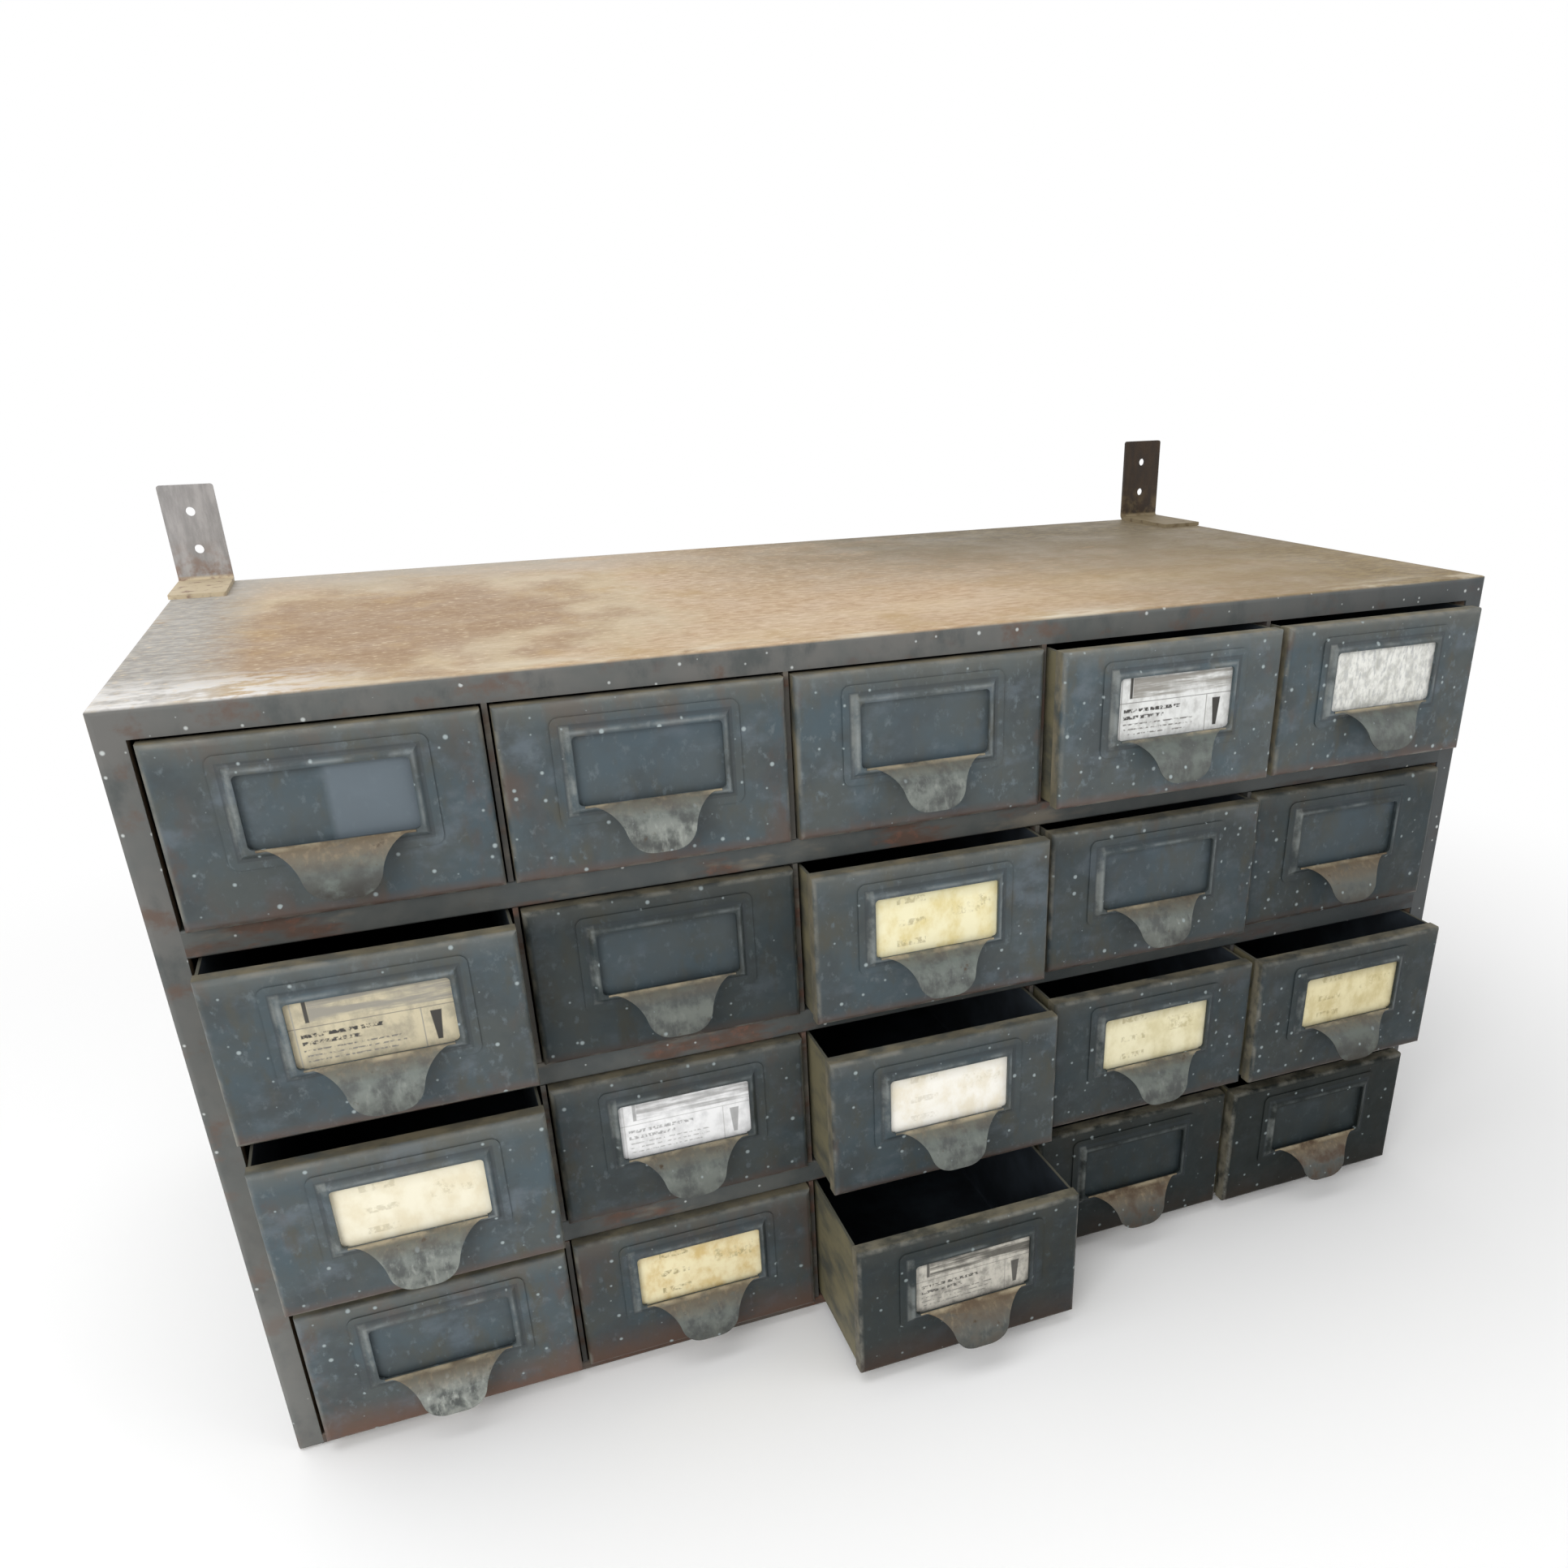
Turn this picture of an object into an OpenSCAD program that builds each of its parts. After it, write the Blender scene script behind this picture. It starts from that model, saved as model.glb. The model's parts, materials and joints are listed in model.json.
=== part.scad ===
/* [Case] */
// Width of the case across its two sides
case_w = 866; // [780:1:1000]
// Depth of the case from the front plane to the wall
case_d = 422; // [360:1:480]
// Height of the case
case_h = 480; // [440:1:560]
// Thickness of the case sheet
case_sheet = 1.2; // [0.8:0.1:1.6]
// Outside radius of the folds round the case
case_fold_r = 3; // [2:0.5:5]
// Height of the header over the top row
header_h = 16; // [12:1:24]
// Width of each front stile
stile_w = 15; // [12:1:24]
// Depth of the return turned back behind the header, stiles and rails
front_return = 10; // [6:1:14]
// Width of the flange turned in round the rear of the case
rear_flange = 14; // [8:1:20]

/* [Shelves] */
// Height of the rail on the front edge of each row shelf
rail_h = 16; // [12:1:24]
// Height of the lowest shelf's deck over the floor
sill_h = 8.5; // [7:0.5:14]
// Height of the flange turned down at the sides and rear of a row shelf
weld_flange = 12; // [8:1:15]

/* [Dividers] */
// Thickness of the upright sheets between the columns
divider_sheet = 1; // [0.8:0.1:1.4]
// Width of the closed hem on the front edge of a divider
hem_w = 3; // [2:0.5:4]
// Depth of that hem
hem_d = 9; // [6:1:12]
// Width of the flange that fixes a divider under the shelf above
divider_flange = 12; // [8:1:20]

/* [Drawer fit] */
// Gap between a stile and the front beside it
side_gap = 3.3; // [2.5:0.1:5]
// Gap between the fronts of two neighbouring columns
column_gap = 5.5; // [5:0.1:9]
// Running gap under a drawer
run_gap = 0.3; // [0.2:0.1:0.8]
// Gap between the top of a front and the rail over it
head_gap = 1.9; // [1:0.1:4]
// Gap behind a drawer that is pushed home
back_gap = 0.5; // [0.3:0.1:4]
// How far the front of a closed drawer stands out of the case
front_proud = 7; // [4:0.5:9]
// Travel of a drawer from closed to the point where it tips out
drawer_travel = 300; // [200:5:320]

/* [Drawer sheet] */
// Thickness of the drawer sheet
drawer_sheet = 0.8; // [0.6:0.1:1]
// Depth of the pressed front with its flanges
pan_d = 11; // [10:0.5:15]
// Outside radius of the pressed front's edges
pan_edge_r = 3.5; // [2.5:0.5:5]
// Inside radius along the bottom folds of the tray
tray_fold_r = 1.6; // [1:0.2:3]
// Depth of the hem along the top of the tray's sides and back
tray_hem = 6; // [4:1:9]

/* [Label frame] */
// Width of the window in the label frame
window_w = 84; // [80:1:96]
// Height of the window
window_h = 39.5; // [30:0.5:42]
// Distance from the top of the front to the window
window_drop = 19; // [18:0.5:24]
// Radius of the window's corners
window_r = 2.5; // [2:0.5:6]
// Width of the raised frame round the window
frame_w = 5.2; // [4.6:0.2:6]
// Height of the raised frame over the front
frame_rise = 3; // [2:0.25:4]
// Width of the soft pressed slope round the frame
frame_slope = 3.4; // [2.4:0.2:4]
// Width of the shallow border round the foot of that slope
border_w = 5.4; // [3:0.2:6]
// Height of the border over the front
border_rise = 0.9; // [0.6:0.1:1.2]
// Radius of the border's corners
border_r = 5; // [3:0.5:7]
// Depth of the lip turned in round the window
lip_d = 2.2; // [1.4:0.1:2.4]

/* [Pull] */
// Width of the pull tongue
pull_w = 40; // [36:1:46]
// Width of the tongue's root, where it leaves the window's lower edge
pull_root_w = 78; // [70:1:78]
// Length of the tongue below the window
pull_l = 27; // [25:0.5:32]
// How far the tip of the tongue stands out of the front
pull_reach = 20; // [14:0.5:22]
// Radius of the tongue's two lower corners
pull_tip_r = 15; // [10:0.5:16]

/* [Label card] */
// Thickness of a label card
card_t = 0.5; // [0.3:0.1:0.7]
// How far a card reaches behind the frame on each side
card_lap = 3; // [2:0.5:4]
// Radius of a card's corners
card_r = 1.5; // [0.5:0.5:3]

/* [Wall brackets] */
// Width of the flat bar of a wall bracket
bracket_w = 38; // [25:1:50]
// Thickness of the bar
bracket_t = 3; // [2:0.5:5]
// Height of the upright leg over the top of the case
bracket_h = 68; // [55:1:90]
// Length of the foot that lies on the top of the case
bracket_foot = 78; // [50:1:120]
// Outside radius of the bend between leg and foot
bracket_bend_r = 5; // [4:0.5:8]
// Radius of the corners of the leg and the foot
bracket_corner_r = 2; // [1:0.5:4]
// Diameter of a screw hole
hole_d = 6.5; // [5:0.5:9]
// Distance from the top of the leg to the upper hole
hole_drop = 19; // [14:1:24]
// Distance between the two holes of a leg
hole_pitch = 27; // [20:1:32]

/* [Hidden] */
columns = 5;
rows = 4;
// How far each drawer stands open, as shares of the travel, row by row from the top
rest_open_shares = [
    [0, 0, 0, 0.047, 0.043],
    [0.073, 0, 0.06, 0.033, 0],
    [0.077, 0, 0.127, 0.077, 0.093],
    [0.01, 0, 0.26, 0.033, 0.047],
];
// Overrun that carries a cut clear of a face
cut = 1;
// Steps in a pressed slope, and in each curve of the tongue's outline
slope_steps = 5;
curve_steps = 12;
$fn = 48;

front_plane = -case_d / 2;
rear_plane = case_d / 2;
open_w = case_w - 2 * stile_w;
inner_w = case_w - 2 * case_sheet;
row_open = (case_h - header_h - sill_h - (rows - 1) * rail_h) / rows;
row_pitch = row_open + rail_h;
front_w = (open_w - 2 * side_gap - (columns - 1) * column_gap) / columns;
column_pitch = front_w + column_gap;
front_h = row_open - run_gap - head_gap;
tray_w = front_w - 2 * drawer_sheet;
back_face = rear_plane - 2 * case_sheet;
tray_end = case_d - 2 * case_sheet - back_gap + front_proud;
joggle_y = pan_d + drawer_sheet;
window_floor = front_h - window_drop - window_h;
// The tongue's side profile is one arc that leaves the frame and stands upright at its tip
pull_out = pull_reach - frame_rise - drawer_sheet;
pull_arc_r = (pull_out * pull_out + pull_l * pull_l) / (2 * pull_out);
// Middle of each lower corner of the tongue, and the hollow flare that touches it and the window's edge
tip_x = pull_w / 2 - pull_tip_r;
tip_drop = pull_l - pull_tip_r;
flare_run = pull_root_w / 2 - tip_x;
pull_flare_r = (flare_run * flare_run + tip_drop * tip_drop - pull_tip_r * pull_tip_r) / (2 * pull_l);
flare_turn = acos((pull_flare_r - tip_drop) / (pull_flare_r + pull_tip_r));

// Row and column of each drawer that holds a card
CARDS = [[1, 4], [1, 5], [2, 1], [2, 3], [3, 1], [3, 2], [3, 3], [3, 4], [3, 5], [4, 2], [4, 3]];

function name_of(kind, r, c) = str(kind, "_r", r, "c", c);

// Deck height under row r, counted from the top, and middle of column c
function deck_z(r) = sill_h + (rows - r) * row_pitch;
function column_x(c) = (c - (columns + 1) / 2) * column_pitch;
// How far drawer r, c stands open
function opening(r, c) = rest_open_shares[r - 1][c - 1] * drawer_travel;

// A flat shape drawn as x and z, extruded from one depth towards the wall
module along_y(from, depth) {
    translate([0, from + depth, 0]) rotate([90, 0, 0]) linear_extrude(depth) children();
}

// A flat shape drawn as y and z, extruded across the width and centred on it
module along_x(width) {
    translate([-width / 2, 0, 0]) rotate([90, 0, 90]) linear_extrude(width) children();
}

// Rectangle centred on x and standing on zero, with four round corners
module round_rect(w, h, r) {
    translate([-w / 2, r]) square([w, h - 2 * r]);
    translate([r - w / 2, 0]) square([w - 2 * r, h]);
    for (side = [-1, 1], level = [r, h - r]) translate([side * (w / 2 - r), level]) circle(r);
}

// Side view of a folded box: y from zero, z from zero, both near corners rounded
module side_view(depth, h, r) {
    translate([r, 0]) square([depth - r, h]);
    translate([0, r]) square([r, h - 2 * r]);
    for (level = [r, h - r]) translate([r, level]) circle(r);
}

// Plan of a folded box: x centred, y from zero, both near corners rounded
module plan_view(w, depth, r) {
    translate([-w / 2, r]) square([w, depth - r]);
    translate([r - w / 2, 0]) square([w - 2 * r, r]);
    for (side = [-1, 1]) translate([side * (w / 2 - r), r]) circle(r);
}

// Outside of a box folded from sheet, standing on zero, with every edge of its near face rounded
module folded_box(w, h, depth, r) {
    intersection() {
        along_x(w) side_view(depth, h, r);
        linear_extrude(h) plan_view(w, depth, r);
    }
}

// Outside of the case, or its inside when drawn in by the sheet
module case_block(inset) {
    translate([0, front_plane + inset, inset])
        intersection() {
            folded_box(case_w - 2 * inset, case_h - 2 * inset, case_d - 2 * inset, case_fold_r - inset);
            along_y(-cut, case_d + cut) round_rect(case_w - 2 * inset, case_h - 2 * inset, case_fold_r - inset);
        }
}

// Front opening of the case between header, stiles and floor, grown at its head and sides
module front_opening(grow) {
    translate([-open_w / 2 - grow, case_sheet]) square([open_w + 2 * grow, case_h - header_h - case_sheet + grow]);
}

// Casing wrapped from one sheet, with header and stiles turned in at the front and a flange at the rear
module case_shell() {
    rear_w = inner_w - 2 * rear_flange;
    color("#6a6a68") {
        difference() {
            case_block(0);
            case_block(case_sheet);
            along_y(front_plane - cut, case_fold_r + cut) front_opening(0);
            along_y(rear_plane - case_sheet - cut, case_sheet + 2 * cut)
                translate([-rear_w / 2, case_sheet + rear_flange])
                    square([rear_w, case_h - 2 * case_sheet - 2 * rear_flange]);
        }
        along_y(front_plane, front_return) difference() {
            front_opening(case_sheet);
            front_opening(0);
        }
    }
}

// Flat sheet laid inside the rear flange
module back_panel() {
    color("#56605f") along_y(back_face, case_sheet)
        translate([0, case_sheet])
            round_rect(inner_w, case_h - 2 * case_sheet, case_fold_r - case_sheet);
}

// Section of a shelf at its front edge: deck, rail and the return behind the rail's lower edge
module shelf_section(rail) {
    depth = back_face - front_plane;
    difference() {
        translate([0, -rail]) side_view(depth, rail, case_sheet);
        translate([case_sheet, case_sheet - rail]) square([depth, rail - 2 * case_sheet]);
        translate([front_return, -rail - cut]) square([depth, rail - case_sheet + cut]);
    }
}

// Shelf whose front edge folds down into a rail, with flanges down at its sides and rear
module shelf(top_z, rail, flange) {
    wing = (inner_w - open_w) / 2;
    translate([0, 0, top_z]) {
        translate([0, front_plane, 0]) along_x(open_w) shelf_section(rail);
        for (side = [-1, 1]) {
            translate([side * (open_w + wing) / 2 - wing / 2, front_plane + front_return, -case_sheet])
                cube([wing, back_face - front_plane - front_return, case_sheet]);
            translate([side * (inner_w - case_sheet) / 2 - case_sheet / 2, front_plane + front_return, -flange])
                cube([case_sheet, back_face - front_plane - front_return, flange]);
        }
        translate([-inner_w / 2, back_face - case_sheet, -flange]) cube([inner_w, case_sheet, flange]);
    }
}

// Lowest shelf, whose rail is the sill and stands on the floor of the case, its flanges clear of the folds
module base_shelf() {
    color("#5a4438") shelf(sill_h, sill_h - case_sheet, sill_h - case_fold_r);
}

module row_shelf(r) {
    color("#56504a") shelf(deck_z(r), rail_h, weld_flange);
}

// Upright sheets between the columns of one row: hemmed front edge, flange under the deck above
module divider(r, c) {
    deck = deck_z(r);
    ceiling = (r == 1 ? case_h : deck_z(r - 1)) - case_sheet;
    inside = front_plane + front_return;
    depth = back_face - case_sheet - inside;
    translate([(c - columns / 2) * column_pitch, 0, 0]) {
        translate([-hem_w / 2, front_plane, deck]) cube([hem_w, hem_d, row_open]);
        translate([-divider_sheet / 2, front_plane, deck]) cube([divider_sheet, front_return + depth, row_open]);
        translate([-divider_sheet / 2, inside, deck]) cube([divider_sheet, depth, ceiling - deck]);
        translate([-divider_sheet / 2, inside, ceiling - divider_sheet])
            cube([divider_flange, depth, divider_sheet]);
    }
}

module column_dividers() {
    color("#5a4438") for (r = [1:rows], c = [1:columns - 1]) divider(r, c);
}

// Side view of a wall bracket: y is zero at the wall, z is zero at the underside of the foot
module bracket_profile() {
    leg = bracket_t + bracket_h;
    translate([-bracket_foot, 0]) square([bracket_foot - bracket_bend_r, bracket_t]);
    translate([-bracket_t, bracket_bend_r]) square([bracket_t, leg - bracket_bend_r]);
    intersection() {
        translate([-bracket_bend_r, bracket_bend_r]) difference() {
            circle(bracket_bend_r);
            circle(bracket_bend_r - bracket_t);
        }
        translate([-bracket_bend_r, 0]) square(bracket_bend_r);
    }
}

// Flat bar bent to an angle: the leg stands flush with the wall, the foot lies on the top of the case
module wall_bracket(side) {
    leg = bracket_t + bracket_h;
    color(side < 0 ? "#a09a96" : "#453a32") translate([side * (case_w - bracket_w) / 2, rear_plane, case_h])
        difference() {
            intersection() {
                along_x(bracket_w) bracket_profile();
                along_y(-bracket_foot - cut, bracket_foot + 2 * cut) translate([0, -bracket_corner_r])
                    round_rect(bracket_w, leg + bracket_corner_r, bracket_corner_r);
                linear_extrude(leg) translate([0, -bracket_foot])
                    plan_view(bracket_w, bracket_foot + cut, bracket_corner_r);
            }
            for (drop = [hole_drop, hole_drop + hole_pitch])
                translate([0, cut, leg - drop]) rotate([90, 0, 0]) cylinder(d = hole_d, h = bracket_t + 2 * cut);
        }
}

// Place of a drawer: middle of its width, face of its front at zero, underside at zero
module at_drawer(r, c) {
    translate([column_x(c), front_plane - front_proud - opening(r, c), deck_z(r) + run_gap]) children();
}

// Cross-section of the tray up to a level: zero at the underside, both bottom folds rounded
module tray_section(inset, level) {
    w = tray_w - 2 * inset;
    r = tray_fold_r + drawer_sheet - inset;
    translate([-w / 2, inset + r]) square([w, level - inset - r]);
    translate([r - w / 2, inset]) square([w - 2 * r, r]);
    for (side = [-1, 1]) translate([side * (w / 2 - r), inset + r]) circle(r);
}

// Room inside the tray, in front of its joggle and behind it
module tray_cavity(top) {
    translate([0, 2 * drawer_sheet, 2 * drawer_sheet])
        folded_box(tray_w - 2 * drawer_sheet, top, joggle_y, pan_edge_r - drawer_sheet);
    along_y(joggle_y + drawer_sheet, tray_end - joggle_y - 2 * drawer_sheet) tray_section(drawer_sheet, top);
}

// Open tray folded from one sheet; behind the front its floor steps down by the sheet's thickness
module drawer_tray(r, c) {
    wall_h = front_h - drawer_sheet;
    hem_foot = wall_h - tray_hem;
    color("#4e5655") at_drawer(r, c) difference() {
        union() {
            translate([0, drawer_sheet, drawer_sheet])
                folded_box(tray_w, wall_h - drawer_sheet, joggle_y, pan_edge_r);
            along_y(joggle_y, tray_end - joggle_y) tray_section(0, wall_h);
        }
        // The cavity leaves the hems along the top of the sides and back
        difference() {
            tray_cavity(front_h + cut);
            for (side = [-1, 1])
                translate([side * (tray_w / 2 - drawer_sheet) - drawer_sheet, joggle_y, hem_foot])
                    cube([2 * drawer_sheet, tray_end - joggle_y, front_h + cut]);
            translate([-tray_w / 2, tray_end - 2 * drawer_sheet, hem_foot])
                cube([tray_w, 2 * drawer_sheet, front_h + cut]);
        }
    }
}

// Points of a soft pressed slope from its foot at zero to its crest at run and rise
function slope(run, rise) =
    [for (i = [0:slope_steps]) [run * i / slope_steps, rise * (1 - cos(180 * i / slope_steps)) / 2]];

// Section of the raised frame: half width at its foot on the border, both slopes, crest towards minus
module frame_section(half) {
    left = [for (p = slope(frame_slope, frame_rise - border_rise)) [p[0] - half, -border_rise - p[1]]];
    right = [for (i = [slope_steps:-1:0]) [-left[i][0], left[i][1]]];
    polygon(concat(left, right, [[half, drawer_sheet + cut], [-half, drawer_sheet + cut]]));
}

// Raised block of the label frame with its border, drawn in by a share of the sheet to make its inside
module frame_block(inset) {
    half = window_w / 2 + frame_w - inset;
    half_h = window_h / 2 + frame_w - inset;
    translate([0, inset, window_floor + window_h / 2]) {
        intersection() {
            translate([0, 0, -half_h]) linear_extrude(2 * half_h) frame_section(half);
            along_x(2 * half) rotate(90) mirror([0, 1]) frame_section(half_h);
        }
        translate([0, 0, -half_h - border_w]) along_y(-border_rise, border_rise + drawer_sheet + cut)
            round_rect(2 * (half + border_w), 2 * (half_h + border_w), border_r - inset);
    }
}

// The pull's outline seen from the front: zero at the window's lower edge, hollow flares, round tip
module pull_outline() {
    flare = [for (i = [0:curve_steps]) let (turn = flare_turn * i / curve_steps)
        [pull_root_w / 2 - pull_flare_r * sin(turn), pull_flare_r * cos(turn) - pull_flare_r]];
    tip = [for (i = [1:curve_steps]) let (turn = flare_turn * (1 - i / curve_steps) - 90)
        [tip_x + pull_tip_r * cos(turn), pull_tip_r * sin(turn) - tip_drop]];
    right = concat(flare, tip);
    left = [for (i = [len(right) - 1:-1:0]) [-right[i][0], right[i][1]]];
    polygon(concat(right, left));
}

// Pull tongue, the flap of the window folded out over its lower edge and bowed down to a round tip
module pull() {
    translate([0, 0, window_floor]) {
        intersection() {
            along_x(pull_root_w) translate([pull_arc_r - pull_reach, -pull_l]) difference() {
                circle(pull_arc_r, $fn = 240);
                circle(pull_arc_r - drawer_sheet, $fn = 240);
            }
            along_y(-pull_reach - cut, pull_reach + cut - frame_rise) pull_outline();
        }
        translate([-pull_root_w / 2, -frame_rise, -drawer_sheet])
            rotate([0, 90, 0]) cylinder(r = drawer_sheet, h = pull_root_w);
    }
}

// Lip turned in round the window, left out where the pull folds out
module window_lip() {
    along_y(-frame_rise, lip_d) translate([0, window_floor]) difference() {
        translate([0, -drawer_sheet])
            round_rect(window_w + 2 * drawer_sheet, window_h + 2 * drawer_sheet, window_r + drawer_sheet);
        round_rect(window_w, window_h, window_r);
        translate([-pull_root_w / 2, -drawer_sheet - cut]) square([pull_root_w, drawer_sheet + cut]);
    }
}

// Drawer front pressed from one sheet: flanges, raised label frame with its window, pull tongue
module drawer_front(r, c) {
    color("#4f5a60") at_drawer(r, c) {
        difference() {
            union() {
                folded_box(front_w, front_h, pan_d, pan_edge_r);
                frame_block(0);
            }
            translate([0, drawer_sheet, drawer_sheet])
                folded_box(front_w - 2 * drawer_sheet, front_h - 2 * drawer_sheet, pan_d, pan_edge_r - drawer_sheet);
            frame_block(drawer_sheet);
            along_y(-frame_rise - cut, frame_rise + drawer_sheet + 2 * cut) translate([0, window_floor])
                round_rect(window_w, window_h, window_r);
        }
        window_lip();
        pull();
    }
}

// Card slipped in behind the window, against the front wall of the tray
module label_card(r, c) {
    color("#efe6c0") at_drawer(r, c)
        along_y(drawer_sheet - card_t, card_t) translate([0, window_floor - card_lap])
            round_rect(window_w + 2 * card_lap, window_h + 2 * card_lap, card_r);
}

case_shell();
back_panel();
base_shelf();
row_shelf(1);  // row_shelf_1
row_shelf(2);  // row_shelf_2
row_shelf(3);  // row_shelf_3
column_dividers();
wall_bracket(-1);  // wall_bracket_left
wall_bracket(1);  // wall_bracket_right
for (r = [1:rows], c = [1:columns]) {
    drawer_tray(r, c);
    drawer_front(r, c);
}
for (p = CARDS) label_card(p[0], p[1]);
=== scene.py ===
import json
import math

import bpy
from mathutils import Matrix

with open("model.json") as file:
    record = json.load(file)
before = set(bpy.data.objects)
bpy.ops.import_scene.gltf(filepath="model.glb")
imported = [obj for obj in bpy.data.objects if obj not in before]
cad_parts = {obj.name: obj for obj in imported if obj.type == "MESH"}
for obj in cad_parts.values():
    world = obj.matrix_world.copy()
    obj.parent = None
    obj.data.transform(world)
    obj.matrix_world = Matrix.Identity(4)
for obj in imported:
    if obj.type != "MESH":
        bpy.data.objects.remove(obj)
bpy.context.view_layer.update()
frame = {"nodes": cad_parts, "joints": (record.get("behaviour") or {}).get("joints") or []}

# View: the photograph was taken by hand from the cabinet's upper left, close enough for strong
# perspective. Place, turn, focal length and optical centre come from fitting a camera to its corners.
photo_px, focal_px, centre_px = 1932, 1521.65, (1080.85, 1158.64)

camera_data = bpy.data.cameras.new("view")
camera_data.sensor_width = 36
camera_data.lens = camera_data.sensor_width * focal_px / photo_px
camera_data.shift_x = (photo_px / 2 - centre_px[0]) / photo_px
camera_data.shift_y = (centre_px[1] - photo_px / 2) / photo_px
camera = bpy.data.objects.new("view", camera_data)
camera.location = (-0.2896, -0.8873, 0.6217)
camera.rotation_euler = (1.13499, 0.018766, -0.374291)
bpy.context.collection.objects.link(camera)
bpy.context.scene.camera = camera


# Casing: mild steel sheet, folded and spot-welded, sprayed with one coat of grey enamel. The front
# and sides keep the paint; the top has worn to ochre primer under streaks of pale plaster dust.
def linear(shade):
    """Turns an sRGB hex value into the linear colour that a socket takes."""
    parts = [int(shade[i:i + 2], 16) / 255 for i in (1, 3, 5)]
    return [p / 12.92 if p <= 0.04045 else ((p + 0.055) / 1.055) ** 2.4 for p in parts] + [1]


def add(tree, kind, inputs, out=0, **settings):
    """Adds a node, sets it, feeds its inputs with values or outputs, and returns one of its outputs."""
    made = tree.nodes.new("ShaderNode" + kind)
    for name, value in settings.items():
        setattr(made, name, value)
    for name, value in inputs.items():
        if isinstance(value, bpy.types.NodeSocket):
            tree.links.new(value, made.inputs[name])
        else:
            made.inputs[name].default_value = value
    return made.outputs[out]


def finish(name, origin=(0, 0, 0)):
    """Starts a material: its tree, its shader and the surface's place in millimetres from an origin."""
    material = bpy.data.materials.new(name)
    material.use_nodes = True
    tree = material.node_tree
    place = add(tree, "TexCoord", {}, "Object")
    place = add(tree, "VectorMath", {0: place, 1: (1000, 1000, 1000)}, operation="MULTIPLY")
    place = add(tree, "VectorMath", {0: place, 1: origin}, operation="SUBTRACT")
    return material, tree, tree.nodes["Principled BSDF"], place


def patches(tree, place, size, start, end, stretch=(1, 1, 1), detail=4.0, shift=0.0):
    """Mask of ragged patches, about a size in millimetres across, where a noise runs from start to end."""
    spread = [1 / (size * s) for s in stretch]
    place = add(tree, "Mapping", {"Vector": place, "Scale": spread, "Location": (shift, shift, shift)})
    noise = add(tree, "TexNoise", {"Vector": place, "Scale": 1.0, "Detail": detail, "Roughness": 0.6})
    return add(tree, "MapRange", {"Value": noise, "From Min": start, "From Max": end},
               interpolation_type="SMOOTHSTEP")


def paint_specks(tree, place, cell, radius, kept):
    """Mask of round specks of spattered paint on faces that look forward, one at most to a cell (mm)."""
    flat = add(tree, "VectorMath", {0: place, 1: (1, 0, 1)}, operation="MULTIPLY")
    flat = add(tree, "Mapping", {"Vector": flat, "Rotation": (math.pi / 2, 0, 0)})
    cells = add(tree, "TexVoronoi", {"Vector": flat, "Scale": 1 / cell}, "Distance", voronoi_dimensions="2D")
    chance = add(tree, "SeparateColor", {0: cells.node.outputs["Color"]})
    size = add(tree, "MapRange", {"Value": chance, "From Min": 1 - kept, "To Max": radius / cell})
    edge = add(tree, "Math", {0: size, 1: cells}, operation="SUBTRACT")
    return add(tree, "MapRange", {"Value": edge, "From Max": 0.5 * radius / cell})


def layers(tree, colour, coats):
    """Lays coats of one shade each over a colour, each where its mask says."""
    for mask, shade in coats:
        colour = add(tree, "Mix", {0: mask, 6: colour, 7: linear(shade)}, 2, data_type="RGBA")
    return colour


def product(tree, *masks):
    """The place that all of these masks share."""
    shared = masks[0]
    for mask in masks[1:]:
        shared = add(tree, "Math", {0: shared, 1: mask}, operation="MULTIPLY")
    return shared


case_top_mm, front_face_mm, case_half_w_mm = 480, -211, 433

worn_case, tree, shader, place = finish("worn_grey_enamel_on_steel")
along = add(tree, "SeparateXYZ", {0: place}, "X")
depth = along.node.outputs["Y"]
level = along.node.outputs["Z"]
behind = add(tree, "Math", {0: depth, 1: front_face_mm}, operation="SUBTRACT")
below = add(tree, "Math", {0: case_top_mm, 1: level}, operation="SUBTRACT")
from_middle = add(tree, "Math", {0: along}, operation="ABSOLUTE")
from_side = add(tree, "Math", {0: case_half_w_mm, 1: from_middle}, operation="SUBTRACT")
on_top = add(tree, "MapRange", {"Value": below, "From Min": 1.6, "From Max": 0.2})
upper_edge = add(tree, "MapRange", {"Value": below, "From Min": 18, "From Max": 1})
in_front = add(tree, "MapRange", {"Value": behind, "From Min": 3, "From Max": 1})
# Painted light: the returns behind the front face, deep in shade in the gaps round the drawers, take a
# lighter rust brown.
behind_face = product(tree, add(tree, "MapRange", {"Value": behind, "From Min": 1.3, "From Max": 1.7}),
                      add(tree, "MapRange", {"Value": behind, "From Min": 50, "From Max": 40}))
within_case = add(tree, "MapRange", {"Value": from_side, "From Min": 0.8, "From Max": 1.1})
on_side = add(tree, "MapRange", {"Value": from_side, "From Min": 0.6, "From Max": 0.2})
mottle = patches(tree, place, 60, 0.35, 0.65)
enamel = add(tree, "Mix", {0: mottle, 6: linear("#505351"), 7: linear("#605f5c")}, 2, data_type="RGBA")
low = add(tree, "MapRange", {"Value": level, "From Min": 330, "From Max": 20, "To Max": 0.5})
# The front faces grow darker towards the right end of the case.
darker_to_right = add(tree, "MapRange", {"Value": along, "From Min": 160, "From Max": 430, "To Max": 0.78})
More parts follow.
